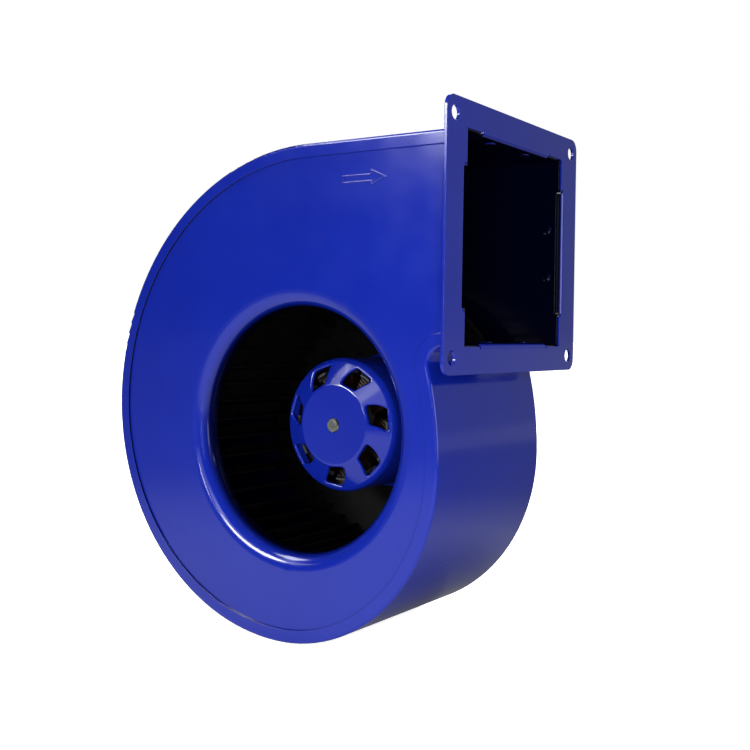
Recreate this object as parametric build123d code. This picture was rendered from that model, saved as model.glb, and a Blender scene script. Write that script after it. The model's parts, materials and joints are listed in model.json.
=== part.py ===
from build123d import *
import math
import os

# Single-inlet centrifugal blower with an external-rotor direct-current motor.
# Millimetres. Origin: centre of the outlet flange's front face.
# +X is the direction of discharge, the inlet faces -Y and +Z is up.

# Sheet thicknesses
wrapper_sheet = 1.0
plate_sheet = 1.2
flange_sheet = 1.5
impeller_sheet = 0.8
cup_sheet = 1.5

# Running gaps and fits
assembly_gap = 0.1
rivet_gap = 0.05
press_gap = 0.02
glue_gap = 0.05
shaft_fit = 0.02
screw_gap = 0.25
thread_gap = 0.05
rotor_air_gap = 0.6
insulation_gap = 0.2

# Impeller and its place
impeller_diameter = 160.0
impeller_width = 74.5
blade_count = 40
blade_depth = 12.4
blade_thickness = 0.8
blade_curve_radius = 14.3
blade_tip_gap = 0.8
rim_height = 5.0
axis_setback = 101.4
inlet_running_gap = 1.5

# Scroll: clear air gap outside the impeller at four compass points
gap_above = 66.6
gap_left = 48.6
gap_below = 29.4
gap_right = 8.0
top_arc_offset = 6.8
tongue_radius = 8.0

# Casing
casing_clear_width = 101.6
duct_clear_height = 101.0
lip_width = 7.0
outer_bend_radius = 1.5

# Inlet bell mouth
throat_diameter = 128.0
bell_roll_radius = 9.0
throat_land = 3.0

# Outlet flange
flange_overhang_side = 17.0
flange_overhang_top = 12.5
flange_corner_radius = 6.0
flange_hole_diameter = 7.0
hole_to_side_edge = 7.5
hole_to_top_edge = 8.0
tab_bend_radius = 3.0
side_tab_length = 12.0
top_tab_length = 11.0
side_tab_span = 66.0
top_tab_span = 70.0
tab_relief = 1.5
side_relief_reach = 2.1
plate_lug_setback = 0.2
window_corner_step = 0.4
tab_rivet_diameter = 3.2
tab_rivet_head_diameter = 5.6
tab_rivet_head_height = 0.7
side_rivet_setback = 8.5
top_rivet_edge = 0.7
side_rivet_spacing = 26.0
top_rivet_spacing = 36.0

# Raised arrow beside the outlet
arrow_length = 27.0
arrow_head_length = 9.3
arrow_head_width = 8.4
arrow_shaft_width = 4.0
arrow_bead = 0.7
arrow_height = 0.35
arrow_setback = 58.5
arrow_rise = 31.2

# Motor seat in the rear side plate
seat_depth = 3.8
seat_wall_run = 4.0
seat_margin = 4.0
plate_opening_diameter = 41.0

# Motor flange and bearing tube
motor_flange_diameter = 100.0
motor_flange_thickness = 5.0
gasket_thickness = 1.0
tube_diameter = 26.0
tube_root_diameter = 30.0
tube_middle_bore = 15.0
flange_pocket_diameter = 34.0
motor_screw_count = 4
motor_screw_circle = 90.0
motor_screw_diameter = 4.0
motor_screw_length = 8.0
screw_head_diameter = 7.0
screw_head_height = 2.4
screw_slot_width = 0.9
screw_slot_depth = 1.2
screw_slot_length = 4.2
screw_point_chamfer = 0.4
screw_dome_radius = 2.4
washer_diameter = 9.0
washer_thickness = 0.8
end_cap_thickness = 1.6
end_cap_rim = 3.0
end_cap_wall = 1.5
end_cap_overlap = 2.5

# Cable inlet
grommet_bore_diameter = 6.0
grommet_body_diameter = 10.0
grommet_head_diameter = 14.0
grommet_head_height = 2.4
grommet_chamfer = 1.0
grommet_offset = 30.0

# Bearings, size 608
bearing_outer_diameter = 22.0
bearing_bore = 8.0
bearing_width = 7.0
ball_diameter = 3.969
ball_count = 7
ball_circle = 15.0
inner_race_diameter = 11.9
outer_race_diameter = 18.4
ball_gap = 0.05
cage_wall = 1.2
cage_width = 5.4
cage_pocket_gap = 0.12
shield_thickness = 0.25
shield_inner_gap = 0.2

# Preload spring washer between the tube's shoulder and the rear bearing
spring_height = 1.0
spring_sheet = 0.4
spring_overlap = 0.5

# Shaft
shaft_nose = 0.8
shaft_chamfer = 0.6
shaft_tail = 2.6
retaining_ring_thickness = 1.0
retaining_ring_diameter = 12.0
retaining_groove_depth = 0.3
retaining_ring_opening = 60.0
hub_diameter = 28.0
hub_length = 5.2
hub_collar_diameter = 11.2
hub_collar_length = 3.0

# Rotor cup
cup_diameter = 73.5
cup_face_diameter = 43.5
cup_face_depth = 34.8
cup_cone_length = 6.0
cup_face_radius = 3.0
cup_shoulder_radius = 4.0
cup_foot_width = 8.25
cup_foot_radius = 1.6
disc_edge_gap = 0.4
window_count = 7
first_window_angle = -68.4
window_sweep = 9.7
window_inner_angle = 25.0
window_outer_angle = 21.6
window_inner_margin = 1.6
window_outer_margin = 3.5
window_corner_radius = 1.2
window_side_bow = 0.8
window_edge_radius = 0.9
disc_rivet_count = 6
disc_rivet_diameter = 3.5
disc_rivet_head_diameter = 6.5
disc_rivet_head_height = 1.2
rivet_dome_top = 0.6
rivet_dome_edge = 0.35

# Stator and magnets
stack_length = 28.0
tube_nose = 3.0
tooth_count = 12
tooth_width = 5.0
tooth_tip_thickness = 2.0
tooth_tip_angle = 24.0
yoke_thickness = 5.45
magnet_count = 10
magnet_thickness = 3.6
magnet_length = 30.0
magnet_gap_angle = 1.6
insulator_thickness = 1.5
insulator_wall = 1.2
insulator_wall_height = 5.0
coil_build = 2.2
coil_corner_radius = 2.0
coil_yoke_gap = 1.0
coil_tip_gap = 0.8
post_count = 3
post_diameter = 2.4
post_pin_diameter = 1.2
post_pin_length = 2.2

# Control board
board_thickness = 1.6
board_to_core = 8.5
board_edge_gap = 2.25
board_bore_gap = 1.0
capacitor_diameter = 6.3
capacitor_height = 4.6
capacitor_edge = 0.5
capacitor_angles = (-58.0, -20.0)
transistor_length = 6.0
transistor_width = 5.0
transistor_height = 1.2
transistor_count = 6
transistor_first_angle = 130.0
transistor_pitch_angle = 28.0
chip_length = 7.0
chip_height = 1.0
chip_angle = 18.0
hall_width = 3.0
hall_depth = 1.5
hall_height = 3.6
hall_count = 3

# Balance clip on a blade
clip_sheet = 0.4
clip_width = 8.0
clip_reach = 4.0
clip_gap = 0.08
clipped_blades = (6, 17)

# Places worked out across the casing's width; inlet side negative
inner_face = casing_clear_width / 2
plate_face = inner_face + plate_sheet
lip_face = plate_face + wrapper_sheet

# Places worked out in the scroll's plane
impeller_radius = impeller_diameter / 2
duct_top = duct_clear_height / 2 + wrapper_sheet
reach_above = impeller_radius + gap_above + wrapper_sheet
reach_left = impeller_radius + gap_left + wrapper_sheet
reach_below = impeller_radius + gap_below + wrapper_sheet
reach_right = impeller_radius + gap_right + wrapper_sheet
axis_x = -axis_setback
axis_z = duct_top - reach_above

# Places worked out along the impeller's axis
bell_end = -plate_face + bell_roll_radius + throat_land
ring_front = bell_end + inlet_running_gap
ring_back = ring_front + impeller_sheet
disc_back = ring_front + impeller_width
disc_front = disc_back - impeller_sheet
foot_back = disc_back + cup_sheet
seat_inner = inner_face - seat_depth
seat_outer = seat_inner + plate_sheet
gasket_front = seat_inner - gasket_thickness
flange_front = gasket_front - motor_flange_thickness
rear_bearing_back = flange_front
rear_bearing_front = rear_bearing_back - bearing_width
spring_front = rear_bearing_front - spring_height
cup_front = -plate_face + cup_face_depth
hub_back = cup_front + cup_sheet + hub_length
tube_front = hub_back + hub_collar_length
front_bearing_back = tube_front + bearing_width
core_front = tube_front + tube_nose + insulator_thickness
core_back = core_front + stack_length
board_front = core_back + board_to_core
board_back = board_front + board_thickness

# Radii worked out from the values above
throat_radius = throat_diameter / 2
bell_radius = throat_radius + bell_roll_radius
rim_inner_radius = impeller_radius - impeller_sheet
blade_outer_radius = rim_inner_radius - blade_tip_gap
blade_inner_radius = blade_outer_radius - blade_depth
cup_radius = cup_diameter / 2
cup_bore_radius = cup_radius - cup_sheet
cup_foot_outer = cup_radius + cup_foot_width
disc_bore_radius = cup_radius + cup_foot_radius + disc_edge_gap
rivet_circle_radius = (disc_bore_radius + cup_foot_outer) / 2
magnet_outer = cup_bore_radius - glue_gap
magnet_inner = magnet_outer - magnet_thickness
stator_radius = magnet_inner - rotor_air_gap
tube_radius = tube_diameter / 2
tube_root_radius = tube_root_diameter / 2
yoke_inner = tube_radius + press_gap
yoke_outer = yoke_inner + yoke_thickness
bearing_radius = bearing_outer_diameter / 2
shaft_radius = bearing_bore / 2 - shaft_fit
board_radius = cup_bore_radius - board_edge_gap
board_bore = tube_root_radius + board_bore_gap
board_middle = (board_bore + board_radius) / 2
post_circle_radius = stator_radius - insulation_gap - insulator_wall
motor_flange_radius = motor_flange_diameter / 2
seat_radius = motor_flange_radius + seat_margin
flange_width = 2 * lip_face + 2 * flange_overhang_side
flange_height = 2 * duct_top + 2 * flange_overhang_top


def polar(radius, degrees):
    """Point at a radius and an angle, clockwise as seen from the inlet."""
    return (radius * math.cos(math.radians(degrees)), radius * math.sin(math.radians(degrees)))


def on_axis(shape):
    """Carry a shape drawn about local Z to the impeller's axis, local +Z to the motor side."""
    return Pos(axis_x, 0, axis_z) * Rot(-90, 0, 0) * shape


def slab(face, low, high):
    """Solid of a face drawn in X and Z, between two places across the width."""
    return extrude(Plane.XZ.offset(-high) * face, amount=high - low)


def spun(*points, radius=0.0):
    """Solid of revolution of a section given as radius and height points."""
    section = make_face(FilletPolyline(*points, radius=radius, close=True))
    return revolve(Plane.XZ * section, axis=Axis.Z)


def tube(inner_radius, outer_radius, low, high):
    """Plain ring about local Z."""
    return Pos(0, 0, low) * extrude(Circle(outer_radius) - Circle(inner_radius), amount=high - low)


def rod(radius, low, high):
    """Plain rod about local Z."""
    return Pos(0, 0, low) * extrude(Circle(radius), amount=high - low)


def around(shape, count, start=0.0):
    """Equal copies of a shape, evenly spaced round local Z."""
    return [Rot(0, 0, start + index * 360 / count) * shape for index in range(count)]


def write(name, shape):
    """Write one node; a list becomes a group of separate solids."""
    if isinstance(shape, list):
        shape = Compound(children=[solid for item in shape for solid in item.solids()])
    shape.label = name
    export_step(shape, "parts/" + name + ".step")


def scroll_face(inset, end_x):
    """Scroll outline moved inwards: four tangent quarter turns, the tongue and the straight duct."""
    radius_top = reach_left + top_arc_offset
    centre_top = (axis_x + top_arc_offset, duct_top - radius_top)
    radius_left = reach_below + centre_top[1] - axis_z
    centre_left = (axis_x - reach_left + radius_left, centre_top[1])
    radius_low = reach_right - (centre_left[0] - axis_x)
    centre_low = (centre_left[0], axis_z - reach_below + radius_low)
    radius_right = radius_low + reach_right
    centre_right = (centre_low[0] + radius_low - radius_right, centre_low[1])
    tongue_z = -duct_top - tongue_radius
    reach = radius_right + tongue_radius
    tongue_rise = tongue_z - centre_right[1]
    tongue_x = centre_right[0] + math.sqrt(reach ** 2 - tongue_rise ** 2)
    tongue_angle = math.degrees(math.asin(tongue_rise / reach))
    top_z = duct_top - inset
    low_z = -duct_top + inset
    return make_face([
        Line((end_x, top_z), (centre_top[0], top_z)),
        CenterArc(centre_top, radius_top - inset, 90, 90),
        CenterArc(centre_left, radius_left - inset, 180, 90),
        CenterArc(centre_low, radius_low - inset, 270, 90),
        CenterArc(centre_right, radius_right - inset, 0, tongue_angle),
        CenterArc((tongue_x, tongue_z), tongue_radius + inset, tongue_angle + 180, -90 - tongue_angle),
        Line((tongue_x, low_z), (end_x, low_z)),
        Line((end_x, low_z), (end_x, top_z)),
    ])


def scroll_wrapper():
    """One strip: duct top, scroll, tongue and duct bottom, with lips folded over both side plates."""
    block = slab(scroll_face(0, -flange_sheet), -lip_face, lip_face)
    outer_edges = [
        edge
        for edge in block.edges()
        if abs(abs(edge.center().Y) - lip_face) < 0.01 and edge.center().X < -flange_sheet - 0.01
    ]
    block = fillet(outer_edges, outer_bend_radius)
    hollow = slab(scroll_face(wrapper_sheet, flange_sheet), -plate_face, plate_face)
    between_lips = slab(scroll_face(lip_width, flange_sheet), -2 * lip_face, 2 * lip_face)
    strip = block - hollow - between_lips
    tab_room = Box(2 * tab_bend_radius, top_tab_span + 2 * tab_relief, 4 * duct_top)
    strip = strip - tab_room
    return drill_tab_rivets(strip)


def side_plate(side, hole_radius):
    """Flat scroll-shaped plate with a round hole, cut back where the flange's side tab rolls.

    Above and below that tab a lug on the plate's edge locates it in the tab's relief cut.
    """
    low, high = sorted((side * inner_face, side * plate_face))
    face = scroll_face(wrapper_sheet + assembly_gap, -flange_sheet)
    plate = slab(face, low, high) - on_axis(rod(hole_radius, low - 1, high + 1))
    lug_length = tab_bend_radius - plate_lug_setback
    lug_height = tab_relief - 2 * assembly_gap
    for way in (-1, 1):
        lug_place = Pos(-plate_lug_setback - lug_length / 2, way * (side_tab_span + tab_relief) / 2)
        plate = plate + slab(lug_place * Rectangle(lug_length, lug_height), low, high)
    tab_room = Box(2 * tab_bend_radius, 4 * lip_face, side_tab_span + 2 * assembly_gap)
    return drill_tab_rivets(plate - tab_room)


def arrow_outline(grow):
    """Arrow pointing towards the outlet, its outline moved outwards by a distance."""
    tail = -arrow_length / 2
    nose = arrow_length / 2
    neck = nose - arrow_head_length
    half_shaft = arrow_shaft_width / 2
    half_head = arrow_head_width / 2
    face = make_face(Polyline(
        (tail, -half_shaft),
        (neck, -half_shaft),
        (neck, -half_head),
        (nose, 0),
        (neck, half_head),
        (neck, half_shaft),
        (tail, half_shaft),
        close=True,
    ))
    return offset(face, amount=grow) if grow else face


def raised_arrow():
    """Thin raised bead in the outline of an arrow, on the front plate's face."""
    bead = arrow_outline(0) - arrow_outline(-arrow_bead)
    raised = slab(Pos(-arrow_setback, arrow_rise) * bead, -plate_face - arrow_height, -plate_face)
    return raised


def inlet_side_plate():
    """Front plate with the bell mouth drawn inwards and the raised arrow."""
    plate = side_plate(-1, bell_radius)
    roll_z = -plate_face + bell_roll_radius
    outer_throat = throat_radius + plate_sheet
    section = make_face([
        CenterArc((bell_radius, roll_z), bell_roll_radius, 180, 90),
        Line((bell_radius, -plate_face), (bell_radius, -inner_face)),
        CenterArc((bell_radius, roll_z), bell_roll_radius - plate_sheet, 180, 90),
        Line((outer_throat, roll_z), (outer_throat, bell_end)),
        Line((outer_throat, bell_end), (throat_radius, bell_end)),
        Line((throat_radius, bell_end), (throat_radius, roll_z)),
    ])
    bell = revolve(Plane.XZ * section, axis=Axis.Z)
    return plate + on_axis(bell) + raised_arrow()


def motor_screw_places():
    """Places of the motor screws about the axis."""
    turn = 360 / motor_screw_count
    return [polar(motor_screw_circle / 2, turn / 2 + index * turn) for index in range(motor_screw_count)]


def grommet_place():
    """Place of the cable inlet about the axis, towards the bottom of the casing."""
    return polar(grommet_offset, 90)


def drill_motor_holes(shape, screw_radius, grommet_radius):
    """Cut the motor screw holes and the cable hole through a piece about the axis."""
    for x, y in motor_screw_places():
        shape = shape - Pos(x, y, 0) * rod(screw_radius, flange_front - 1, plate_face + 1)
    x, y = grommet_place()
    return shape - Pos(x, y, 0) * rod(grommet_radius, flange_front - 1, plate_face + 1)


def motor_side_plate():
    """Rear plate with a round seat pressed inwards for the motor flange."""
    seat_edge = seat_radius + seat_wall_run + plate_sheet
    opening = plate_opening_diameter / 2
    seat = spun(
        (opening, seat_inner),
        (seat_radius, seat_inner),
        (seat_radius + seat_wall_run, inner_face),
        (seat_edge, inner_face),
        (seat_edge, plate_face),
        (seat_radius + seat_wall_run - plate_sheet / 2, plate_face),
        (seat_radius - plate_sheet / 2, seat_outer),
        (opening, seat_outer),
    )
    seat = drill_motor_holes(
        seat,
        motor_screw_diameter / 2 + screw_gap,
        grommet_body_diameter / 2 + assembly_gap,
    )
    return side_plate(1, seat_edge) + on_axis(seat)


def bent_tab(inner_face_place, span, length):
    """Tab drawn in X and Y: rolled back out of the flange plate, its outer side on the given face."""
    roll_start = inner_face_place + tab_bend_radius
    centre = (-tab_bend_radius, roll_start)
    back_face = inner_face_place + flange_sheet
    section = make_face([
        CenterArc(centre, tab_bend_radius, 0, -90),
        Line((-tab_bend_radius, inner_face_place), (-length, inner_face_place)),
        Line((-length, inner_face_place), (-length, back_face)),
        Line((-length, back_face), (-tab_bend_radius, back_face)),
        CenterArc(centre, tab_bend_radius - flange_sheet, 0, -90),
        Line((-flange_sheet, roll_start), (0, roll_start)),
    ])
    return Pos(0, 0, -span / 2) * extrude(section, amount=span)


def side_tab_face():
    """Where the side tabs' inner faces lie: on the outside of the side plates."""
    return plate_face


def top_tab_face():
    """Where the top and bottom tabs' inner faces lie: one sheet inside the duct."""
    return duct_clear_height / 2 - flange_sheet


def flange_hole_places():
    """Centres of the four flange holes in Y and Z."""
    half_y = flange_width / 2 - hole_to_side_edge
    half_z = flange_height / 2 - hole_to_top_edge
    return [(y, z) for y in (-half_y, half_y) for z in (-half_z, half_z)]


def outlet_flange():
    """Flange plate with four holes and four tabs bent back along the duct's walls."""
    side_start = side_tab_face() + tab_bend_radius
    top_start = top_tab_face() + tab_bend_radius
    window_half_y = inner_face + window_corner_step
    window_half_z = duct_clear_height / 2 + window_corner_step
    face = RectangleRounded(flange_width, flange_height, flange_corner_radius)
    face = face - Rectangle(2 * window_half_y, 2 * window_half_z)
    face = face - Rectangle(2 * side_start, side_tab_span)
    relief_half_y = window_half_y + side_relief_reach
    face = face - Rectangle(2 * relief_half_y, side_tab_span + 2 * tab_relief)
    face = face - Rectangle(top_tab_span + 2 * tab_relief, 2 * top_start)
    for y, z in flange_hole_places():
        face = face - Pos(y, z) * Circle(flange_hole_diameter / 2)
    flange = extrude(Plane.YZ * face, amount=-flange_sheet)
    side_tab = bent_tab(side_tab_face(), side_tab_span, side_tab_length)
    top_tab = Rot(90, 0, 0) * bent_tab(top_tab_face(), top_tab_span, top_tab_length)
    flange = flange + side_tab + mirror(side_tab, about=Plane.XZ)
    flange = flange + top_tab + mirror(top_tab, about=Plane.XY)
    return drill_tab_rivets(flange)


def tab_rivet_places():
    """Frames on the outside of each tab joint, local +Z outwards, and the joint's inner and outer faces."""
    top_setback = tab_bend_radius + tab_rivet_head_diameter / 2 + top_rivet_edge
    places = []
    for side in (-1, 1):
        for z in (-side_rivet_spacing / 2, side_rivet_spacing / 2):
            frame = Pos(-side_rivet_setback, 0, z) * Rot(-90 * side, 0, 0)
            places.append((frame, inner_face, side_tab_face() + flange_sheet))
        for y in (-top_rivet_spacing / 2, top_rivet_spacing / 2):
            frame = Pos(-top_setback, y, 0) * Rot(90 - 90 * side, 0, 0)
            places.append((frame, top_tab_face(), duct_top))
    return places


def drill_tab_rivets(shape):
    """Cut the rivet holes of all tab joints."""
    for frame, low, high in tab_rivet_places():
        shape = shape - frame * rod(tab_rivet_diameter / 2 + rivet_gap, low - 1, high + 1)
    return shape


def rivet(diameter, head_diameter, head_height, low, high):
    """Rivet closed over the faces low and high, with a domed head and a flatter closed head."""
    body = diameter / 2
    head = head_diameter / 2
    return spun(
        (0, low - head_height),
        (head * rivet_dome_top, low - head_height),
        (head, low - head_height * rivet_dome_edge),
        (head, low),
        (body, low),
        (body, high),
        (head, high),
        (head, high + head_height * rivet_dome_edge),
        (head * rivet_dome_top, high + head_height),
        (0, high + head_height),
    )


def tab_rivets():
    """Rivets that join the flange's tabs to the duct's walls."""
    return [
        frame * rivet(tab_rivet_diameter, tab_rivet_head_diameter, tab_rivet_head_height, low, high)
        for frame, low, high in tab_rivet_places()
    ]


def motor_flange():
    """Cast flange with the bearing tube, a rear pocket, tapped holes and the cable hole."""
    seat = bearing_radius + press_gap
    middle = tube_middle_bore / 2
    pocket = flange_pocket_diameter / 2
    shape = spun(
        (seat, tube_front),
        (tube_radius, tube_front),
        (tube_radius, core_back + insulator_thickness),
        (tube_root_radius, core_back + insulator_thickness),
        (tube_root_radius, flange_front),
        (motor_flange_radius, flange_front),
        (motor_flange_radius, gasket_front),
        (pocket, gasket_front),
        (pocket, rear_bearing_back),
        (seat, rear_bearing_back),
        (seat, spring_front),
        (middle, spring_front),
        (middle, front_bearing_back),
        (seat, front_bearing_back),
    )
    return drill_motor_holes(
        shape,
        motor_screw_diameter / 2 + thread_gap,
        grommet_body_diameter / 2 + assembly_gap,
    )


def motor_gasket():
    """Flat gasket between the motor flange and the casing's seat."""
    ring = tube(plate_opening_diameter / 2, motor_flange_radius, gasket_front, seat_inner)
    return drill_motor_holes(
        ring,
        motor_screw_diameter / 2 + screw_gap,
        grommet_body_diameter / 2 + assembly_gap,
    )


def motor_screws():
    """Pan-head screws with a crossed recess, from the outside into the motor flange."""
    head_low = seat_outer + washer_thickness
    head_high = head_low + screw_head_height
    head_radius = screw_head_diameter / 2
    shank_radius = motor_screw_diameter / 2
    screw = spun(
        (0, head_low - motor_screw_length),
        (shank_radius - screw_point_chamfer, head_low - motor_screw_length),
        (shank_radius, head_low - motor_screw_length + screw_point_chamfer),
        (shank_radius, head_low),
        (head_radius, head_low),
        (head_radius, (head_low + head_high) / 2),
        (screw_dome_radius, head_high),
        (0, head_high),
    )
    slot = Box(screw_slot_length, screw_slot_width, 2 * screw_slot_depth)
    cross = Pos(0, 0, head_high) * (slot + Rot(0, 0, 90) * slot)
    return [Pos(x, y, 0) * (screw - cross) for x, y in motor_screw_places()]


def motor_screw_washers():
    """Plain washers under the motor screws' heads."""
    bore = motor_screw_diameter / 2 + screw_gap
    washer = tube(bore, washer_diameter / 2, seat_outer, seat_outer + washer_thickness)
    return [Pos(x, y, 0) * washer for x, y in motor_screw_places()]


def bearing_end_cap():
    """Cap that closes the flange's rear pocket behind the shaft end."""
    plug = flange_pocket_diameter / 2 - press_gap
    cover = plug + end_cap_overlap
    return spun(
        (0, gasket_front),
        (plug - end_cap_wall, gasket_front),
        (plug - end_cap_wall, gasket_front - end_cap_rim),
        (plug, gasket_front - end_cap_rim),
        (plug, gasket_front),
        (cover, gasket_front),
        (cover, gasket_front + end_cap_thickness),
        (0, gasket_front + end_cap_thickness),
    )


def cable_grommet():
    """Hollow cable inlet through the motor flange, gasket and casing seat."""
    bore = grommet_bore_diameter / 2
    body = grommet_body_diameter / 2
    head = grommet_head_diameter / 2
    x, y = grommet_place()
    return Pos(x, y, 0) * spun(
        (bore, flange_front),
        (body, flange_front),
        (body, seat_outer),
        (head, seat_outer),
        (head, seat_outer + grommet_head_height - grommet_chamfer),
        (head - grommet_chamfer, seat_outer + grommet_head_height),
        (bore, seat_outer + grommet_head_height),
    )


def bearing_outer_ring(low):
    """Outer ring with its ball groove."""
    groove = Torus(ball_circle / 2, ball_diameter / 2 + ball_gap)
    ring = tube(outer_race_diameter / 2, bearing_radius, low, low + bearing_width)
    return ring - Pos(0, 0, low + bearing_width / 2) * groove


def bearing_inner_ring(low):
    """Inner ring with its ball groove."""
    groove = Torus(ball_circle / 2, ball_diameter / 2 + ball_gap)
    ring = tube(bearing_bore / 2, inner_race_diameter / 2, low, low + bearing_width)
    return ring - Pos(0, 0, low + bearing_width / 2) * groove


def bearing_balls(low):
    """Balls halfway across the bearing's width."""
    ball = Pos(ball_circle / 2, 0, low + bearing_width / 2) * Sphere(ball_diameter / 2)
    return around(ball, ball_count)


def bearing_cage(low):
    """Ring with a round pocket for each ball."""
    middle = low + bearing_width / 2
    half = cage_width / 2
    centre = ball_circle / 2
    cage = tube(centre - cage_wall / 2, centre + cage_wall / 2, middle - half, middle + half)
    pocket = Cylinder(ball_diameter / 2 + cage_pocket_gap, 2 * cage_wall)
    pocket = Pos(centre, 0, middle) * Rot(0, 90, 0) * pocket
    for cut in around(pocket, ball_count):
        cage = cage - cut
    return cage


def bearing_shields(low):
    """Thin covers at both ends, held in the outer ring."""
    outer = outer_race_diameter / 2 - press_gap
    inner = inner_race_diameter / 2 + shield_inner_gap
    high = low + bearing_width
    return [
        tube(inner, outer, low, low + shield_thickness),
        tube(inner, outer, high - shield_thickness, high),
    ]


def preload_spring():
    """Conical spring washer that presses on the rear bearing's outer ring."""
    inner = tube_middle_bore / 2 + spring_overlap
    outer = bearing_radius - assembly_gap
    return spun(
        (inner, spring_front),
        (outer, rear_bearing_front - spring_sheet),
        (outer, rear_bearing_front),
        (inner, spring_front + spring_sheet),
    )


def stator_face(with_tips):
    """Yoke ring with its teeth, and the tooth tips if asked."""
    face = Circle(yoke_outer)
    tooth_end = stator_radius - tooth_tip_thickness / 2
    tooth = Pos(tooth_end / 2, 0) * Rectangle(tooth_end, tooth_width)
    tip_ring = Circle(stator_radius) - Circle(stator_radius - tooth_tip_thickness)
    half = tooth_tip_angle / 2
    far = 2 * stator_radius
    wedge = make_face(Polyline((0, 0), polar(far, -half), polar(far, half), close=True))
    piece = tooth + (tip_ring & wedge) if with_tips else tooth
    for copy in around(piece, tooth_count):
        face = face + copy
    return face - Circle(yoke_inner)


def stator_core():
    """Laminated core with twelve teeth."""
    return Pos(0, 0, core_front) * extrude(stator_face(True), amount=stack_length)


def insulator_walls(low, high):
    """Walls beside the windings: one round the yoke and one on each tooth tip."""
    yoke_wall = tube(yoke_outer - insulator_wall, yoke_outer, low, high)
    half = tooth_tip_angle / 4
    far = 2 * stator_radius
    wedge = make_face(Polyline((0, 0), polar(far, -half), polar(far, half), close=True))
    outer = stator_radius - insulation_gap
    arc = (Circle(outer) - Circle(outer - insulator_wall)) & wedge
    tip_wall = Pos(0, 0, low) * extrude(arc, amount=high - low)
    return [yoke_wall] + around(tip_wall, tooth_count)


def front_insulator():
    """Plastic end plate on the front of the core."""
    low = core_front - insulator_thickness
    shape = Pos(0, 0, low) * extrude(stator_face(True), amount=insulator_thickness)
    for wall in insulator_walls(low - insulator_wall_height, low):
        shape = shape + wall
    return shape


def post_places():
    """Places of the board posts, on three of the tooth tips."""
    return [polar(post_circle_radius, index * 360 / post_count) for index in range(post_count)]


def rear_insulator():
    """Plastic end plate on the rear of the core, with posts that carry the board."""
    high = core_back + insulator_thickness
    shape = Pos(0, 0, core_back) * extrude(stator_face(True), amount=insulator_thickness)
    shape = shape - rod(tube_radius + press_gap, core_back - 1, high + 1)
    yoke_wall, *tip_walls = insulator_walls(high, high + insulator_wall_height)
    for wall in [yoke_wall] + tip_walls:
        shape = shape + wall
    for x, y in post_places():
        post = rod(post_diameter / 2, core_back, board_front)
        pin = rod(post_pin_diameter / 2, board_front - 1, board_front + post_pin_length)
        shape = shape + Pos(x, y, 0) * (post + pin)
    return shape


def stator_coils():
    """One rounded winding round each tooth."""
    inner_width = tooth_width + 2 * insulation_gap
    inner_height = stack_length + 2 * insulator_thickness + 2 * insulation_gap
    outer_width = inner_width + 2 * coil_build
    outer_height = inner_height + 2 * coil_build
    face = RectangleRounded(outer_width, outer_height, coil_corner_radius)
    face = face - RectangleRounded(inner_width, inner_height, insulation_gap)
    low = yoke_outer + coil_yoke_gap
    high = stator_radius - tooth_tip_thickness - coil_tip_gap
    coil = Plane.YZ.offset(low) * extrude(face, amount=high - low)
    middle = (core_front + core_back) / 2
    return around(Pos(0, 0, middle) * coil, tooth_count)


def circuit_board():
    """Round control board with a centre hole and the posts' pin holes."""
    board = tube(board_bore, board_radius, board_front, board_back)
    hole = rod(post_pin_diameter / 2 + rivet_gap, board_front - 1, board_back + 1)
    for x, y in post_places():
        board = board - Pos(x, y, 0) * hole
    return board


def board_capacitors():
    """Two can capacitors on the board's rear side."""
    radius = capacitor_diameter / 2
    can = spun(
        (0, board_back),
        (radius, board_back),
        (radius, board_back + capacitor_height - capacitor_edge),
        (radius - capacitor_edge, board_back + capacitor_height),
        (0, board_back + capacitor_height),
    )
    return [Pos(*polar(board_middle, angle)) * can for angle in capacitor_angles]


def board_transistors():
    """Power transistors in a row round the board's rear side."""
    case = Pos(board_middle, 0, board_back + transistor_height / 2)
    case = case * Box(transistor_length, transistor_width, transistor_height)
    return [
        Rot(0, 0, transistor_first_angle + index * transistor_pitch_angle) * case
        for index in range(transistor_count)
    ]


def board_controller():
    """Controller chip on the board's rear side."""
    x, y = polar(board_middle, chip_angle)
    return Pos(x, y, board_back + chip_height / 2) * Box(chip_length, chip_length, chip_height)


def hall_sensors():
    """Three position sensors on the board's front side, between the tooth tips."""
    sensor = Box(hall_depth, hall_width, hall_height)
    sensor = Pos(post_circle_radius, 0, board_front - hall_height / 2) * sensor
    half_pitch = 180 / tooth_count
    return [Rot(0, 0, half_pitch + index * 360 / tooth_count) * sensor for index in range(hall_count)]


def shaft():
    """Ground shaft with chamfered ends and a groove for the retaining ring."""
    low = cup_front - shaft_nose
    high = rear_bearing_back + shaft_tail
    groove = shaft_radius - retaining_groove_depth
    return spun(
        (0, low),
        (shaft_radius - shaft_chamfer, low),
        (shaft_radius, low + shaft_chamfer),
        (shaft_radius, rear_bearing_back),
        (groove, rear_bearing_back),
        (groove, rear_bearing_back + retaining_ring_thickness),
        (shaft_radius, rear_bearing_back + retaining_ring_thickness),
        (shaft_radius, high - shaft_chamfer),
        (shaft_radius - shaft_chamfer, high),
        (0, high),
    )


def shaft_retaining_ring():
    """Open ring in the shaft's groove, against the rear bearing's inner ring."""
    bore = shaft_radius - retaining_groove_depth + rivet_gap
    outer = retaining_ring_diameter / 2
    half = retaining_ring_opening / 2
    wedge = make_face(Polyline((0, 0), polar(2 * outer, -half), polar(2 * outer, half), close=True))
    face = Circle(outer) - Circle(bore) - wedge
    return Pos(0, 0, rear_bearing_back) * extrude(face, amount=retaining_ring_thickness)


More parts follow.
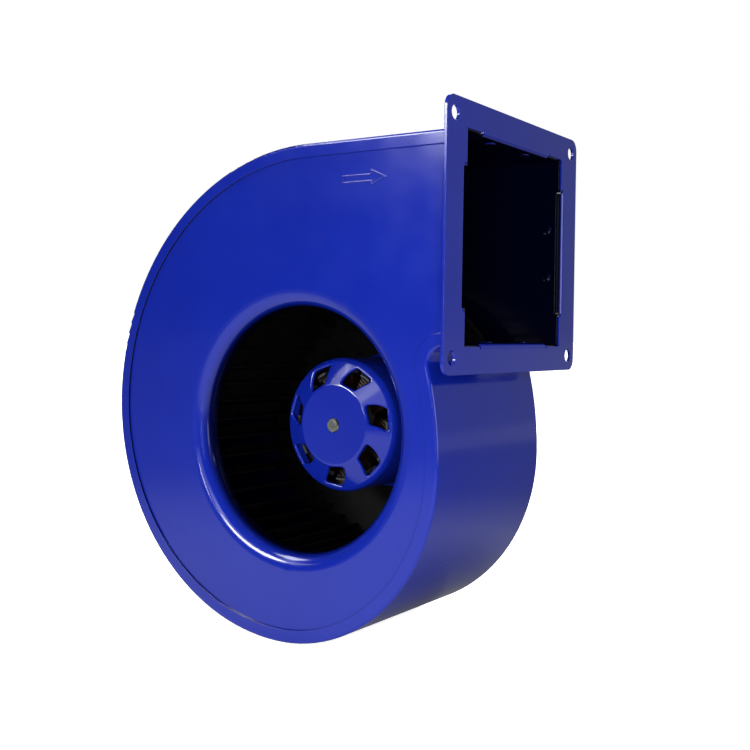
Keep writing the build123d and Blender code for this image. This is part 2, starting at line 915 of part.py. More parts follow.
def rotor_hub():
    """Bush that joins the cup to the shaft, with a collar against the front bearing."""
    bore = bearing_bore / 2
    return spun(
        (bore, cup_front + cup_sheet),
        (hub_diameter / 2, cup_front + cup_sheet),
        (hub_diameter / 2, hub_back),
        (hub_collar_diameter / 2, hub_back),
        (hub_collar_diameter / 2, tube_front),
        (bore, tube_front),
    )


def cup_window():
    """Cutter for one cooling window: four sides, swept with the turn, with rounded corners."""
    inner = cup_face_diameter / 2 + window_inner_margin
    outer = cup_radius - window_outer_margin
    near = window_inner_angle / 2
    far = window_outer_angle / 2
    middle = (inner + outer) / 2
    first_side = ThreePointArc(
        polar(inner, -near),
        polar(middle + window_side_bow, (window_sweep - near - far) / 2 - window_side_bow),
        polar(outer, window_sweep - far),
    )
    second_side = ThreePointArc(
        polar(outer, window_sweep + far),
        polar(middle - window_side_bow, (window_sweep + near + far) / 2 - window_side_bow),
        polar(inner, near),
    )
    face = make_face([
        first_side,
        Line(polar(outer, window_sweep - far), polar(outer, window_sweep + far)),
        second_side,
        Line(polar(inner, near), polar(inner, -near)),
    ])
    face = fillet(face.vertices(), window_corner_radius)
    return Pos(0, 0, cup_front - 1) * extrude(face, amount=cup_cone_length + cup_shoulder_radius)


def round_window_edges(cup):
    """Round the windows' outer edges: those in front of the middle of the cone's wall."""
    rise = cup_cone_length / (cup_radius - cup_face_diameter / 2)
    rounded = []
    for edge in cup.edges():
        middle = edge.position_at(0.5)
        radius = math.hypot(middle.X, middle.Y)
        wall_middle = cup_front + (radius - cup_face_diameter / 2) * rise + cup_sheet / 2
        on_cone = cup_face_diameter / 2 < radius < cup_radius - cup_shoulder_radius / 2
        along_wall = abs(edge.tangent_at(0.5).Z) > 0.9
        if on_cone and not along_wall and edge.length < cup_radius and middle.Z < wall_middle:
            rounded.append(edge)
    return fillet(rounded, window_edge_radius)


def rotor_cup():
    """Drawn cup with a flat face, a cone with seven round-edged windows, a cylinder and a rear foot."""
    face_radius = cup_face_diameter / 2
    cone_back = cup_front + cup_cone_length
    slope = math.hypot(cup_cone_length, cup_radius - face_radius)
    lean = (slope - cup_cone_length) / (cup_radius - face_radius) * cup_sheet
    drop = (slope - (cup_radius - face_radius)) / cup_cone_length * cup_sheet
    outer = [
        (shaft_radius + shaft_fit, cup_front),
        (face_radius, cup_front),
        (cup_radius, cone_back),
        (cup_radius, disc_back),
        (cup_foot_outer, disc_back),
    ]
    inner = [
        (cup_foot_outer, foot_back),
        (cup_bore_radius, foot_back),
        (cup_bore_radius, cone_back + lean),
        (face_radius - drop, cup_front + cup_sheet),
        (shaft_radius + shaft_fit, cup_front + cup_sheet),
    ]
    bends = [
        0,
        cup_face_radius,
        cup_shoulder_radius,
        cup_foot_radius,
        0,
        0,
        cup_foot_radius + cup_sheet,
        cup_shoulder_radius - cup_sheet,
        cup_face_radius / 2,
        0,
    ]
    cup = spun(*outer, *inner, radius=bends)
    for cut in around(cup_window(), window_count, first_window_angle):
        cup = cup - cut
    return drill_disc_rivets(round_window_edges(cup))


def drill_disc_rivets(shape):
    """Cut the rivet holes that join the back disc to the cup's foot."""
    hole = Pos(rivet_circle_radius, 0, 0)
    hole = hole * rod(disc_rivet_diameter / 2 + rivet_gap, disc_front - 1, foot_back + 1)
    for cut in around(hole, disc_rivet_count):
        shape = shape - cut
    return shape


def disc_rivets():
    """Rivets through the back disc and the cup's foot."""
    one = rivet(disc_rivet_diameter, disc_rivet_head_diameter, disc_rivet_head_height, disc_front, foot_back)
    return around(Pos(rivet_circle_radius, 0, 0) * one, disc_rivet_count)


def rotor_magnets():
    """Magnet segments glued inside the cup, with small gaps between them."""
    half = (360 / magnet_count - magnet_gap_angle) / 2
    far = 2 * magnet_outer
    wedge = make_face(Polyline((0, 0), polar(far, -half), polar(far, half), close=True))
    face = (Circle(magnet_outer) - Circle(magnet_inner)) & wedge
    low = (core_front + core_back - magnet_length) / 2
    return around(Pos(0, 0, low) * extrude(face, amount=magnet_length), magnet_count)


def impeller_back_disc():
    """Disc that carries the blades, with a rim turned forwards."""
    disc = spun(
        (disc_bore_radius, disc_front),
        (rim_inner_radius, disc_front),
        (rim_inner_radius, disc_back - rim_height),
        (impeller_radius, disc_back - rim_height),
        (impeller_radius, disc_back),
        (disc_bore_radius, disc_back),
    )
    return drill_disc_rivets(disc)


def impeller_front_ring():
    """Ring over the blades' front ends, with a rim turned back."""
    return spun(
        (blade_inner_radius, ring_front),
        (impeller_radius, ring_front),
        (impeller_radius, ring_front + rim_height),
        (rim_inner_radius, ring_front + rim_height),
        (rim_inner_radius, ring_back),
        (blade_inner_radius, ring_back),
    )


def blade_face(grow, start_gap, reach_angle):
    """Section of a forward-curved blade: radial at its inner edge, leaning with the turn outside."""
    centre = (blade_inner_radius, blade_curve_radius)
    outer = blade_curve_radius + blade_thickness / 2 + grow
    inner = blade_curve_radius - blade_thickness / 2 - grow
    start = -90 + start_gap
    first = CenterArc(centre, outer, start, reach_angle)
    second = CenterArc(centre, inner, start, reach_angle)
    return make_face([first, Line(first @ 1, second @ 1), second, Line(second @ 0, first @ 0)])


def blade_turn():
    """Angle that a blade's arc turns through between its inner and outer radii."""
    sine_part = 2 * blade_inner_radius * blade_curve_radius
    cosine_part = 2 * blade_curve_radius ** 2
    target = blade_outer_radius ** 2 - blade_inner_radius ** 2 - cosine_part
    lean = math.atan2(cosine_part, sine_part)
    return math.degrees(math.asin(target / math.hypot(sine_part, cosine_part)) + lean)


def impeller_blades():
    """Forty separate blades between the front ring and the back disc."""
    blade = Pos(0, 0, ring_back) * extrude(blade_face(0, 0, blade_turn()), amount=disc_front - ring_back)
    return around(blade, blade_count)


def balance_clips():
    """Two spring clips pushed over the inner edges of blades."""
    reach = math.degrees(clip_reach / blade_curve_radius)
    back = math.degrees((clip_gap + clip_sheet) / blade_curve_radius)
    inside = math.degrees(clip_gap / blade_curve_radius)
    block = blade_face(clip_gap + clip_sheet, -back, reach + back)
    slot = blade_face(clip_gap, -inside, reach + inside + 1)
    clip = extrude(block - slot, amount=clip_width)
    middle = (ring_back + disc_front - clip_width) / 2
    pitch = 360 / blade_count
    return [Rot(0, 0, pitch * place) * Pos(0, 0, middle) * clip for place in clipped_blades]


write("inlet_side_plate", inlet_side_plate())
write("motor_side_plate", motor_side_plate())
write("scroll_wrapper", scroll_wrapper())
write("outlet_flange", outlet_flange())
write("tab_rivets", tab_rivets())

axial_nodes = {
    "motor_flange": motor_flange(),
    "motor_gasket": motor_gasket(),
    "motor_screws": motor_screws(),
    "motor_screw_washers": motor_screw_washers(),
    "bearing_end_cap": bearing_end_cap(),
    "cable_grommet": cable_grommet(),
    "preload_spring_washer": preload_spring(),
    "stator_core": stator_core(),
    "front_insulator": front_insulator(),
    "rear_insulator": rear_insulator(),
    "stator_coils": stator_coils(),
    "circuit_board": circuit_board(),
    "board_capacitors": board_capacitors(),
    "board_transistors": board_transistors(),
    "board_controller_chip": board_controller(),
    "hall_sensors": hall_sensors(),
    "shaft": shaft(),
    "shaft_retaining_ring": shaft_retaining_ring(),
    "rotor_hub": rotor_hub(),
    "rotor_cup": rotor_cup(),
    "rotor_magnets": rotor_magnets(),
    "disc_rivets": disc_rivets(),
    "impeller_back_disc": impeller_back_disc(),
    "impeller_front_ring": impeller_front_ring(),
    "impeller_blades": impeller_blades(),
    "balance_clips": balance_clips(),
}
for place, low in (("front", tube_front), ("rear", rear_bearing_front)):
    axial_nodes[place + "_bearing_outer_ring"] = bearing_outer_ring(low)
    axial_nodes[place + "_bearing_inner_ring"] = bearing_inner_ring(low)
    axial_nodes[place + "_bearing_balls"] = bearing_balls(low)
    axial_nodes[place + "_bearing_cage"] = bearing_cage(low)
    axial_nodes[place + "_bearing_shields"] = bearing_shields(low)

for name, shape in axial_nodes.items():
    if isinstance(shape, list):
        write(name, [on_axis(item) for item in shape])
    else:
        write(name, on_axis(shape))
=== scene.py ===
import json
import math

import bpy
from mathutils import Matrix, Quaternion, Vector


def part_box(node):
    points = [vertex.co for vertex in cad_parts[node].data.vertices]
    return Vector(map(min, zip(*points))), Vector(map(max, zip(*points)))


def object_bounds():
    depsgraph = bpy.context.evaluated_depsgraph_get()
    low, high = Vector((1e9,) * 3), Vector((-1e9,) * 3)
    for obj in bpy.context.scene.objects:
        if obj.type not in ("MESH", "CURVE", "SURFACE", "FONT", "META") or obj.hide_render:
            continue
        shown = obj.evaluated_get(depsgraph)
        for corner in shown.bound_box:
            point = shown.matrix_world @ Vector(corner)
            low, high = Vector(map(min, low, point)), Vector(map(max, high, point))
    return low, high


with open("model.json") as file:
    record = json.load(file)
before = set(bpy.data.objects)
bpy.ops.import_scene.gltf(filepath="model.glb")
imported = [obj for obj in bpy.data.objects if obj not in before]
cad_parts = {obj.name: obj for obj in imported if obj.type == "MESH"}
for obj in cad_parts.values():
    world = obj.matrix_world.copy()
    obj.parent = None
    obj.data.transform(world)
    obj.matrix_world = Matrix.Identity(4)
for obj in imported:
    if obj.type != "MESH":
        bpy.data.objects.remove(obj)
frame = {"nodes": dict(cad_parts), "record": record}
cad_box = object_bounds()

nodes = frame["nodes"]
scene = bpy.context.scene

# The impeller's axis, from the shaft's own box
shaft_low, shaft_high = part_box("shaft")
axis_x = (shaft_low.x + shaft_high.x) / 2
axis_z = (shaft_low.z + shaft_high.z) / 2


# Materials


class Finish:
    """A procedural material in the making, with short calls for its nodes."""

    def __init__(self, name):
        self.material = bpy.data.materials.new(name)
        self.material.use_nodes = True
        self.tree = self.material.node_tree
        self.shader = self.tree.nodes["Principled BSDF"]
        self.place = self.node("ShaderNodeTexCoord").outputs["Object"]

    def node(self, kind, **settings):
        made = self.tree.nodes.new(kind)
        for key, value in settings.items():
            setattr(made, key, value)
        return made

    def link(self, source, target):
        self.tree.links.new(source, target)

    def stretched(self, scale):
        """Object coordinates with each axis scaled, for streaks and layers."""
        mapping = self.node("ShaderNodeMapping")
        self.link(self.place, mapping.inputs["Vector"])
        mapping.inputs["Scale"].default_value = scale
        return mapping.outputs["Vector"]

    def noise(self, scale, detail=3.0, roughness=0.55, place=None):
        made = self.node("ShaderNodeTexNoise")
        self.link(place or self.place, made.inputs["Vector"])
        made.inputs["Scale"].default_value = scale
        made.inputs["Detail"].default_value = detail
        made.inputs["Roughness"].default_value = roughness
        return made.outputs["Fac"]

    def cells(self, scale, feature="F1", place=None):
        made = self.node("ShaderNodeTexVoronoi", feature=feature)
        self.link(place or self.place, made.inputs["Vector"])
        made.inputs["Scale"].default_value = scale
        return made.outputs["Distance"]

    def ramp(self, source, low, high, start=0.3, end=0.7):
        made = self.node("ShaderNodeMapRange", interpolation_type="SMOOTHSTEP")
        self.link(source, made.inputs["Value"])
        made.inputs["From Min"].default_value = start
        made.inputs["From Max"].default_value = end
        made.inputs["To Min"].default_value = low
        made.inputs["To Max"].default_value = high
        return made.outputs["Result"]

    def tone(self, source, tones, start=0.3, end=0.7, shaded_inner_sides=(), shaded_depths=()):
        """Base colour that drifts between two tones, with painted shade on inner sides and past depths."""
        spread = self.ramp(source, 0.0, 1.0, start, end)
        colour = self.node("ShaderNodeMix", data_type="RGBA")
        self.link(spread, colour.inputs["Factor"])
        for socket, value in zip((6, 7), tones):
            colour.inputs[socket].default_value = (*value, 1.0)
        result = colour.outputs[2]
        for middle, weights, depth in shaded_inner_sides:
            share = self.looks_towards(middle, weights)
            if depth:
                both = self.node("ShaderNodeMath", operation="MULTIPLY")
                self.link(share, both.inputs[0])
                self.link(self.past(*depth), both.inputs[1])
                share = both.outputs["Value"]
            result = self.with_painted_shade(result, share)
        for depth in shaded_depths:
            result = self.with_painted_shade(result, self.past(*depth))
        self.link(result, self.shader.inputs["Base Color"])

    def with_painted_shade(self, colour, share):
        """Colour that goes over to the dark tone of painted shade."""
        made = self.node("ShaderNodeMix", data_type="RGBA")
        self.link(share, made.inputs["Factor"])
        self.link(colour, made.inputs[6])
        made.inputs[7].default_value = (*painted_shade_tone, 1.0)
        return made.outputs[2]

    def past(self, axis, from_place, to_place):
        """One past a place along an axis, and zero before it."""
        split = self.node("ShaderNodeSeparateXYZ")
        self.link(self.place, split.inputs[0])
        return self.ramp(split.outputs[axis], 0.0, 1.0, from_place, to_place)

    def looks_towards(self, middle, weights):
        """One on faces that look towards a middle point, with each axis weighted; zero elsewhere."""
        offset = self.node("ShaderNodeVectorMath", operation="SUBTRACT")
        self.link(self.place, offset.inputs[0])
        offset.inputs[1].default_value = middle
        weighted = self.node("ShaderNodeVectorMath", operation="MULTIPLY")
        self.link(offset.outputs["Vector"], weighted.inputs[0])
        weighted.inputs[1].default_value = weights
        along = self.node("ShaderNodeVectorMath", operation="DOT_PRODUCT")
        self.link(weighted.outputs["Vector"], along.inputs[0])
        self.link(self.node("ShaderNodeTexCoord").outputs["Normal"], along.inputs[1])
        return self.ramp(along.outputs["Value"], 1.0, 0.0, *facing_limits)

    def gloss(self, source, roughness):
        """Roughness that drifts between two values."""
        self.link(self.ramp(source, *roughness), self.shader.inputs["Roughness"])

    def relief(self, source, height, strength=1.0, edge=0.0):
        """Bump of a height in metres, over edges rounded by a radius in metres."""
        bump = self.node("ShaderNodeBump")
        self.link(source, bump.inputs["Height"])
        bump.inputs["Distance"].default_value = height
        bump.inputs["Strength"].default_value = strength
        if edge:
            rounded = self.node("ShaderNodeBevel", samples=6)
            rounded.inputs["Radius"].default_value = edge
            self.link(rounded.outputs["Normal"], bump.inputs["Normal"])
        self.link(bump.outputs["Normal"], self.shader.inputs["Normal"])

    def sockets(self, **values):
        for key, value in values.items():
            self.shader.inputs[key.replace("_", " ")].default_value = value


def powder_paint(name, tones, roughness, peel_height, shaded_inner_sides=(), shaded_depths=()):
    """Powder paint: slight orange peel, slow drift of colour and gloss, and painted shade on inner sides
    and past depths if asked.
    """
    made = Finish(name)
    made.tone(made.noise(scale=14.0), tones, shaded_inner_sides=shaded_inner_sides, shaded_depths=shaded_depths)
    made.gloss(made.noise(scale=60.0), roughness)
    made.relief(made.noise(scale=520.0, detail=2.0), peel_height, edge=paint_edge)
    made.sockets(IOR=1.52)
    return made.material


def coated_impeller():
    """Black coating over galvanised sheet, with faint crystal patches."""
    made = Finish("impeller_coating")
    crystal_tones = ((0.0008, 0.0008, 0.0011), (0.0016, 0.0016, 0.0020))
    made.tone(made.cells(scale=130.0), crystal_tones, start=0.2, end=0.8)
    made.gloss(made.noise(scale=90.0), roughness=(0.55, 0.66))
    made.relief(made.noise(scale=700.0), height=0.00003)
    made.sockets(Specular_IOR_Level=0.15)
    return made.material


def metal(name, tones, roughness, patch_scale, grain_scale, grain_height, stretch=None):
    """Bare metal with patches of tone, finer patches of gloss and a grain, drawn out if asked."""
    made = Finish(name)
    place = made.stretched(stretch) if stretch else None
    gloss_scale = patch_scale * 2.3
    made.tone(made.noise(patch_scale, place=place), tones)
    made.gloss(made.noise(gloss_scale, place=place), roughness)
    made.relief(made.noise(grain_scale, place=place), grain_height)
    made.sockets(Metallic=1.0)
    return made.material


def plastic(name, tones, roughness, grain_scale, grain_height):
    """Moulded plastic or rubber with a fine grain."""
    made = Finish(name)
    made.tone(made.noise(scale=45.0), tones)
    made.gloss(made.noise(scale=120.0), roughness)
    made.relief(made.noise(grain_scale), grain_height)
    return made.material


def turned_steel():
    """Ground shaft steel: fine rings about the axis, which drift a little along it."""
    ring_tones = ((0.17, 0.178, 0.160), (0.30, 0.310, 0.285))
    drift_along = 0.35
    made = Finish("bare_steel")
    from_axis = made.node("ShaderNodeVectorMath", operation="SUBTRACT")
    made.link(made.place, from_axis.inputs[0])
    from_axis.inputs[1].default_value = (axis_x, 0.0, axis_z)
    flat = made.node("ShaderNodeVectorMath", operation="MULTIPLY")
    made.link(from_axis.outputs["Vector"], flat.inputs[0])
    flat.inputs[1].default_value = (1.0, drift_along, 1.0)
    radius = made.node("ShaderNodeVectorMath", operation="LENGTH")
    made.link(flat.outputs["Vector"], radius.inputs[0])
    spread = made.node("ShaderNodeCombineXYZ")
    made.link(radius.outputs["Value"], spread.inputs["X"])
    rings = made.noise(scale=2600.0, detail=2.0, place=spread.outputs["Vector"])
    made.tone(rings, ring_tones)
    made.gloss(made.noise(scale=300.0), roughness=(0.28, 0.42))
    made.relief(rings, height=0.00002)
    made.sockets(Metallic=1.0)
    return made.material


def layered_steel():
    """Stack of thin steel sheets, seen from its side, toned far darker than bare steel as painted shade."""
    shaded_sheet_tones = ((0.010, 0.010, 0.011), (0.030, 0.030, 0.032))
    made = Finish("lamination")
    waves = made.node("ShaderNodeTexWave", wave_type="BANDS", bands_direction="Y", wave_profile="SAW")
    made.link(made.place, waves.inputs["Vector"])
    waves.inputs["Scale"].default_value = 314.0
    waves.inputs["Distortion"].default_value = 0.3
    made.tone(waves.outputs["Fac"], shaded_sheet_tones, start=0.1, end=0.5)
    made.gloss(made.noise(scale=150.0), roughness=(0.42, 0.6))
    made.relief(waves.outputs["Fac"], height=0.00006)
    made.sockets(Metallic=1.0)
    return made.material


def wound_wire():
    """Varnished copper turns, toned far darker than copper as painted shade, so that they look shaded
    through the windows.
    """
    shaded_wire_tones = ((0.003, 0.0013, 0.0007), (0.012, 0.005, 0.0025))
    made = Finish("copper_winding")
    waves = made.node("ShaderNodeTexWave", wave_type="BANDS", bands_direction="DIAGONAL")
    made.link(made.place, waves.inputs["Vector"])
    waves.inputs["Scale"].default_value = 260.0
    made.tone(waves.outputs["Fac"], shaded_wire_tones, start=0.1, end=0.9)
    made.gloss(made.noise(scale=200.0), roughness=(0.3, 0.45))
    made.relief(waves.outputs["Fac"], height=0.00015)
    made.sockets(Metallic=0.7)
    return made.material


def glass_board():
    """Green glass-epoxy board with its faint weave."""
    board_tones = ((0.004, 0.035, 0.014), (0.009, 0.070, 0.028))
    made = Finish("board")
    weave = made.cells(scale=900.0)
    made.tone(weave, board_tones, start=0.1, end=0.7)
    made.gloss(made.noise(scale=160.0), roughness=(0.3, 0.45))
    made.relief(weave, height=0.00002)
    return made.material


casing_tones = ((0.0028, 0.0115, 0.222), (0.0034, 0.0135, 0.240))
casing_roughness = (0.11, 0.14)
casing_peel = 0.000005
rotor_tones = ((0.0032, 0.0120, 0.235), (0.0040, 0.0145, 0.255))
rotor_roughness = (0.08, 0.11)
rotor_peel = 0.000004
paint_edge = 0.0004
# Painted shade: near-black tone for inner sides and deep places inside the casing, where shade falls
painted_shade_tone = (0.0003, 0.0005, 0.0045)

# Where the painted shade begins along an axis, and where it is full
bell_throat = ("Y", -0.0505, -0.0440)
tab_bends = ("X", -0.0004, -0.0018)
duct_mouth = ("X", -0.0040, -0.0034)

# Inner sides, which get painted shade: a middle point that they look towards, a weight for each axis, and a
# depth where they begin.
# A face is wholly inner when its offset from that point along its normal is below the first limit here,
# in metres, and not at all when it is above the second.
facing_limits = (-0.015, -0.010)
across = ((0.0, 0.0, 0.0), (0.0, 1.0, 0.0), None)
around_duct = ((0.0, 0.0, 0.0), (0.0, 1.0, 1.0), None)
around_scroll = ((axis_x, 0.0, -0.03), (1.0, 0.0, 1.0), None)
around_tabs = ((0.0, 0.0, 0.0), (0.0, 1.0, 1.0), tab_bends)
front_tab_ends = ((0.0, -0.044, 0.0), (0.0, 2.0, 0.0), tab_bends)
rear_tab_ends = ((0.0, 0.044, 0.0), (0.0, 2.0, 0.0), tab_bends)
cut_ends = ((0.02, 0.0, 0.0), (1.0, 0.0, 0.0), duct_mouth)

finishes = {
    "casing_paint": powder_paint("casing_paint", casing_tones, casing_roughness, casing_peel),
    "rotor_paint": powder_paint("rotor_paint", rotor_tones, rotor_roughness, rotor_peel),
    "impeller_coating": coated_impeller(),
    "bare_steel": turned_steel(),
    "bearing_steel": metal(
        "bearing_steel", ((0.50, 0.50, 0.51), (0.60, 0.60, 0.61)), (0.10, 0.20),
        patch_scale=70.0, grain_scale=1500.0, grain_height=0.000004,
    ),
    "cage_steel": metal(
        "cage_steel", ((0.36, 0.34, 0.29), (0.46, 0.44, 0.38)), (0.28, 0.42),
        patch_scale=160.0, grain_scale=900.0, grain_height=0.00001,
    ),
    "cast_aluminium": metal(
        "cast_aluminium", ((0.42, 0.43, 0.44), (0.56, 0.57, 0.58)), (0.42, 0.58),
        patch_scale=55.0, grain_scale=650.0, grain_height=0.00006,
    ),
    "magnet": metal(
        "magnet", ((0.035, 0.035, 0.038), (0.06, 0.06, 0.064)), (0.5, 0.65),
        patch_scale=120.0, grain_scale=800.0, grain_height=0.00002, stretch=(1.0, 0.08, 1.0),
    ),
    "lamination": layered_steel(),
    # Insulator tones near black as painted shade, for the motor's inside seen through the windows
    "insulator_plastic": plastic(
        "insulator_plastic", ((0.010, 0.010, 0.011), (0.018, 0.018, 0.020)), (0.42, 0.55),
        grain_scale=1100.0, grain_height=0.00002,
    ),
    "copper_winding": wound_wire(),
    "board": glass_board(),
    "component_black": plastic(
        "component_black", ((0.010, 0.010, 0.011), (0.020, 0.020, 0.021)), (0.35, 0.5),
        grain_scale=1500.0, grain_height=0.00001,
    ),
    "capacitor_can": metal(
        "capacitor_can", ((0.55, 0.55, 0.57), (0.66, 0.66, 0.68)), (0.22, 0.34),
        patch_scale=90.0, grain_scale=1200.0, grain_height=0.000006,
    ),
    "seal_rubber": plastic(
        "seal_rubber", ((0.009, 0.009, 0.009), (0.018, 0.018, 0.018)), (0.6, 0.75),
        grain_scale=700.0, grain_height=0.00004,
    ),
    "cap_plastic": plastic(
        "cap_plastic", ((0.010, 0.010, 0.011), (0.019, 0.019, 0.021)), (0.42, 0.55),
        grain_scale=900.0, grain_height=0.00003,
    ),
}

# Casing pieces that are seen from inside as well get their own paint, with painted shade on their inner
# sides, and the impeller's rivets its coating
part_paint_and_painted_shade = {}
for name, shaded_inner_sides, shaded_depths in (
    ("inlet_side_plate", (across, cut_ends), (bell_throat,)),
    ("motor_side_plate", (across, cut_ends), ()),
    ("scroll_wrapper", (around_scroll, cut_ends), ()),
    ("outlet_flange", (around_tabs, front_tab_ends, rear_tab_ends), ()),
    ("tab_rivets", (around_duct,), ()),
):
    part_paint_and_painted_shade[name] = powder_paint(
        name + "_paint", casing_tones, casing_roughness, casing_peel, shaded_inner_sides, shaded_depths
    )
part_paint_and_painted_shade["disc_rivets"] = finishes["impeller_coating"]

slot_of = {row["node"]: row["material_slot"] for row in frame["record"]["subparts"]}
for name, node in nodes.items():
    node.data.materials.clear()
    node.data.materials.append(part_paint_and_painted_shade.get(name) or finishes[slot_of[name]])


# Floor and light

object_middle = (cad_box[0] + cad_box[1]) / 2
floor_z = cad_box[0].z
floor_half = 20.0
camera_glow = 0.85
grey_unseen = 0.10
grey_seen = 0.85

# Light from the floor: its middle beside the object's, its strength there and far off, and where it falls
glow_offset = (-0.005, -0.28)
near_glow = 0.74
far_glow = 0.05
glow_start = 0.12
glow_end = 0.60

# Shade where the object stands: its middle, the share of light left, and where it ends
contact_offset = (0.035, 0.04)
contact_share = 0.2
contact_start = 0.05
contact_end = 0.13

floor_mesh = bpy.data.meshes.new("floor")
floor_signs = [(-1, -1), (1, -1), (1, 1), (-1, 1)]
floor_corners = [(x * floor_half, y * floor_half, floor_z) for x, y in floor_signs]
floor_mesh.from_pydata(floor_corners, [], [(0, 1, 2, 3)])
floor = bpy.data.objects.new("floor", floor_mesh)
scene.collection.objects.link(floor)

# The floor is pale everywhere for the camera, and lights the object, less from where the object shades it
pale = Finish("floor")


def floor_ramp(offset, near, far, start, end):
    """Value that changes with the distance on the floor from a place beside the object's middle."""
    distance = pale.node("ShaderNodeVectorMath", operation="DISTANCE")
    pale.link(pale.place, distance.inputs[0])
    middle = (object_middle.x + offset[0], object_middle.y + offset[1], floor_z)
    distance.inputs[1].default_value = middle
    return pale.ramp(distance.outputs["Value"], near, far, start, end)


falling_glow = floor_ramp(glow_offset, near_glow, far_glow, glow_start, glow_end)
left_by_shade = floor_ramp(contact_offset, contact_share, 1.0, contact_start, contact_end)
shaded_glow = pale.node("ShaderNodeMath", operation="MULTIPLY")
pale.link(falling_glow, shaded_glow.inputs[0])
pale.link(left_by_shade, shaded_glow.inputs[1])
from_camera = pale.node("ShaderNodeLightPath").outputs["Is Camera Ray"]
seen_glow = pale.node("ShaderNodeMath", operation="MULTIPLY")
pale.link(from_camera, seen_glow.inputs[0])
seen_glow.inputs[1].default_value = camera_glow
glow = pale.node("ShaderNodeMath", operation="MAXIMUM")
pale.link(shaded_glow.outputs["Value"], glow.inputs[0])
pale.link(seen_glow.outputs["Value"], glow.inputs[1])
pale.link(glow.outputs["Value"], pale.shader.inputs["Emission Strength"])
pale.shader.inputs["Emission Color"].default_value = (1.0, 1.0, 1.0, 1.0)
grey_level = pale.ramp(from_camera, grey_unseen, grey_seen, 0.0, 1.0)
grey = pale.node("ShaderNodeCombineColor")
for channel in ("Red", "Green", "Blue"):
    pale.link(grey_level, grey.inputs[channel])
pale.link(grey.outputs["Color"], pale.shader.inputs["Base Color"])
pale.sockets(Roughness=1.0, Specular_IOR_Level=0.0)
floor_mesh.materials.append(pale.material)


def softbox(
    name, azimuth, elevation, width, height, radiance,
    distance=1.6, roll=0.0, mirrored=True, lights=True,
):
    """Rectangular light that looks at the object's middle.

    Azimuth 0 is in front of the inlet and 90 is at the outlet. A light that isn't mirrored only lights,
    and one that doesn't light only shows as a reflection.
    """
    lamp = bpy.data.lights.new(name, "AREA")
    lamp.shape = "RECTANGLE"
    lamp.size = width
    lamp.size_y = height
    lamp.energy = radiance * math.pi * width * height
    holder = bpy.data.objects.new(name, lamp)
    around = math.radians(azimuth)
    above = math.radians(elevation)
    level = math.cos(above)
    towards = Vector((math.sin(around) * level, -math.cos(around) * level, math.sin(above)))
    holder.location = object_middle + towards * distance
    holder.rotation_mode = "QUATERNION"
    turned = Quaternion((0.0, 0.0, 1.0), math.radians(roll))
    holder.rotation_quaternion = towards.to_track_quat("Z", "Y") @ turned
    holder.visible_camera = False
    holder.visible_glossy = mirrored
    holder.visible_diffuse = lights
    scene.collection.objects.link(holder)


softbox("key_light", -20.0, 33.0, width=0.52, height=0.80, radiance=5.8, mirrored=False)
softbox("fill_light", 34.0, 0.0, width=0.25, height=0.25, radiance=30.0, distance=0.7, mirrored=False)
softbox("outlet_light", 96.0, 0.0, width=0.90, height=1.00, radiance=1.2, mirrored=False)
softbox("rear_light", 205.0, 28.0, width=1.00, height=1.00, radiance=4.0)
softbox("long_mirrored", -26.0, 21.5, width=0.75, height=0.30, radiance=25.0, roll=-35.0, lights=False)
softbox("low_mirrored", -15.0, 3.0, width=0.20, height=0.12, radiance=14.0, lights=False)
softbox("side_mirrored", -62.0, 45.0, width=0.50, height=0.40, radiance=11.0, lights=False)
softbox(
    "wide_mirrored", -25.0, 25.0, width=1.50, height=0.50, radiance=2.4,
    distance=1.7, roll=-10.0, lights=False,
)
softbox("glow_mirrored", 0.0, 14.0, width=0.50, height=0.70, radiance=1.3, distance=1.7, lights=False)
softbox("outlet_mirrored", 96.0, 10.0, width=0.90, height=1.00, radiance=3.6, lights=False)
softbox("background_panel", 146.0, 2.0, width=1.50, height=1.40, radiance=0.25)

overhead = bpy.data.lights.new("overhead", "SUN")
overhead.energy = 3.7
overhead.angle = math.radians(40.0)
overhead_holder = bpy.data.objects.new("overhead", overhead)
overhead_holder.visible_glossy = False
scene.collection.objects.link(overhead_holder)

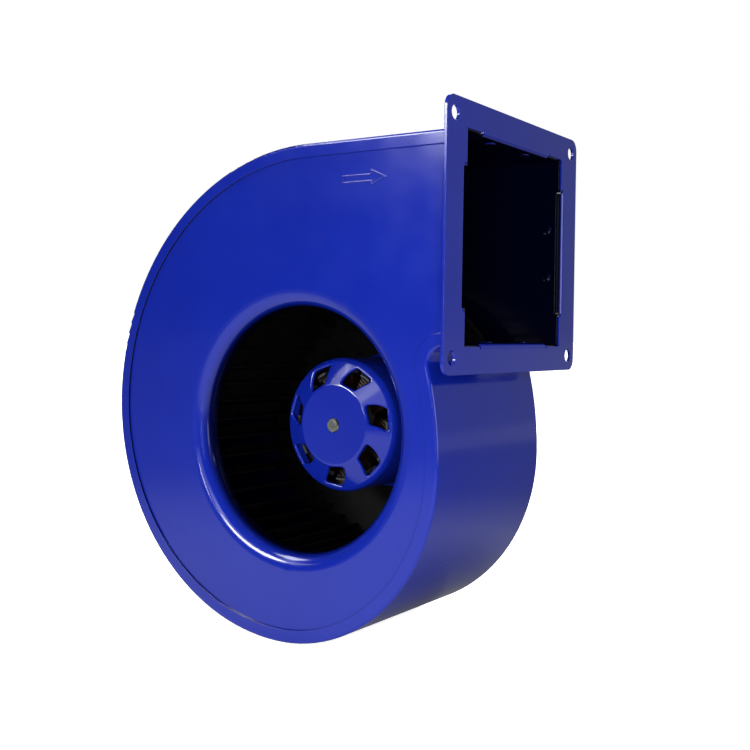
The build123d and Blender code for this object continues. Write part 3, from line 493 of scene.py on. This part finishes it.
surround_colour = (0.05, 0.05, 0.055, 1.0)
backdrop_colour = (1.0, 1.0, 1.0, 1.0)
world = bpy.data.worlds.new("studio")
scene.world = world
world.use_nodes = True
world_tree = world.node_tree
world_tree.nodes.clear()
surround = world_tree.nodes.new("ShaderNodeBackground")
surround.inputs["Color"].default_value = surround_colour
backdrop = world_tree.nodes.new("ShaderNodeBackground")
backdrop.inputs["Color"].default_value = backdrop_colour
which_ray = world_tree.nodes.new("ShaderNodeLightPath")
mixed = world_tree.nodes.new("ShaderNodeMixShader")
world_out = world_tree.nodes.new("ShaderNodeOutputWorld")
world_tree.links.new(which_ray.outputs["Is Camera Ray"], mixed.inputs["Fac"])
world_tree.links.new(surround.outputs["Background"], mixed.inputs[1])
world_tree.links.new(backdrop.outputs["Background"], mixed.inputs[2])
world_tree.links.new(mixed.outputs["Shader"], world_out.inputs["Surface"])
scene.view_settings.view_transform = "Standard"


# Camera

photo_side = 750.0
focal_pixels = 1031.49
principal_x = 400.01
principal_y = 322.57
camera_place = (0.24091, -0.46508, -0.0444)
yaw = math.radians(33.79)
pitch = math.radians(0.5)
roll = math.radians(1.03)

level_forward = Vector((-math.sin(yaw), math.cos(yaw), 0.0))
level_right = Vector((math.cos(yaw), math.sin(yaw), 0.0))
level_up = Vector((0.0, 0.0, 1.0))
forward = level_forward * math.cos(pitch) + level_up * math.sin(pitch)
pitched_up = level_up * math.cos(pitch) - level_forward * math.sin(pitch)
right = level_right * math.cos(roll) + pitched_up * math.sin(roll)
up = pitched_up * math.cos(roll) - level_right * math.sin(roll)

camera_data = bpy.data.cameras.new("camera")
camera_data.sensor_width = 36.0
camera_data.lens = focal_pixels / photo_side * camera_data.sensor_width
camera_data.shift_x = (photo_side / 2 - principal_x) / photo_side
camera_data.shift_y = (principal_y - photo_side / 2) / photo_side
camera_data.clip_start = 0.01
camera_data.clip_end = 50.0
camera = bpy.data.objects.new("camera", camera_data)
turn = Matrix((right, up, -forward)).transposed().to_4x4()
camera.matrix_world = Matrix.Translation(camera_place) @ turn
scene.collection.objects.link(camera)
scene.camera = camera
